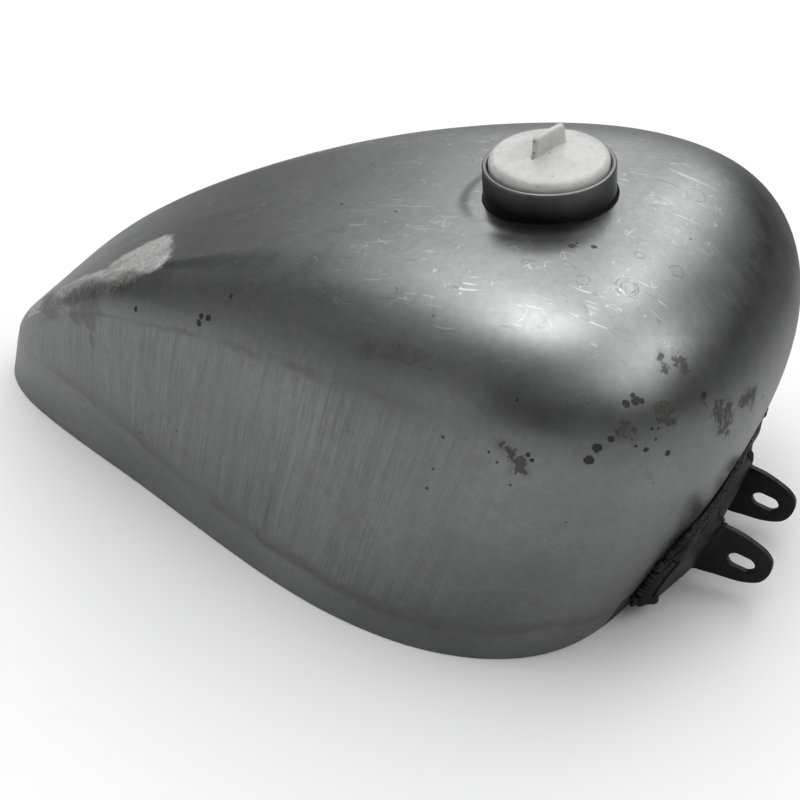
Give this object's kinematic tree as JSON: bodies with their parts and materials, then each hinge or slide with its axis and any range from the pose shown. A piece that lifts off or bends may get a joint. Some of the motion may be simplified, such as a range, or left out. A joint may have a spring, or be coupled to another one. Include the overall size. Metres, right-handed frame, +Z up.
{
  "type": "motorcycle fuel tank",
  "caption": "Small teardrop raw-steel motorcycle fuel tank with a welded screw neck, plastic shipping plug and black slotted front ears.",
  "frame": {"origin": "under the middle of the outline, in the plane of the lower edges", "axes": "+X forward to the wide nose and the ears, +Y left side, +Z up"},
  "size_m": [0.4528, 0.2528, 0.2145],
  "materials": {
    "raw_steel": "raw drawn sheet with scuffs and handling marks",
    "pan_steel": "raw sheet",
    "neck_steel": "turned, dark",
    "weld": "rough weld",
    "black_paint": "thin satin black",
    "plug_plastic": "soft off-white plastic",
    "cap_plastic": "moulded",
    "seal": "matt"
  },
  "bodies": {
    "tank": {"left_half": "raw_steel", "right_half": "raw_steel", "frame_tunnel": "pan_steel", "left_bottom_pan": "pan_steel", "right_bottom_pan": "pan_steel", "filler_neck": "neck_steel", "neck_weld": "weld", "right_ear_bracket": "black_paint", "left_ear_bracket": "black_paint", "front_cross_plate": "black_paint", "right_bracket_weld": "black_paint", "left_bracket_weld": "black_paint", "rear_tab": "pan_steel", "rear_tab_weld": "weld", "fuel_valve_bung": "neck_steel"},
    "seal": {"neck_seal": "seal"},
    "plug": {"shipping_plug": "plug_plastic"},
    "bung_cap": {"fuel_valve_bung_cap": "cap_plastic"}
  },
  "joints": [
    {"name": "plug_rise", "type": "slide", "parent": "tank", "child": "seal", "axis": [-0.0436, 0, 0.999], "range_m": [0, 0.0201]},
    {"name": "plug_turn", "type": "hinge", "parent": "seal", "child": "plug", "pos_m": [0.09897, 0, 0.18166], "axis": [-0.0436, 0, 0.999], "range_deg": [0, 1440]},
    {"name": "bung_cap_pull", "type": "slide", "parent": "tank", "child": "bung_cap", "axis": [0, 0, -1], "range_m": [0, 0.025]}
  ],
  "couplings": [
    {"joint": "plug_rise", "follows": "plug_turn", "m_per_rad": 0.00079577}
  ]
}
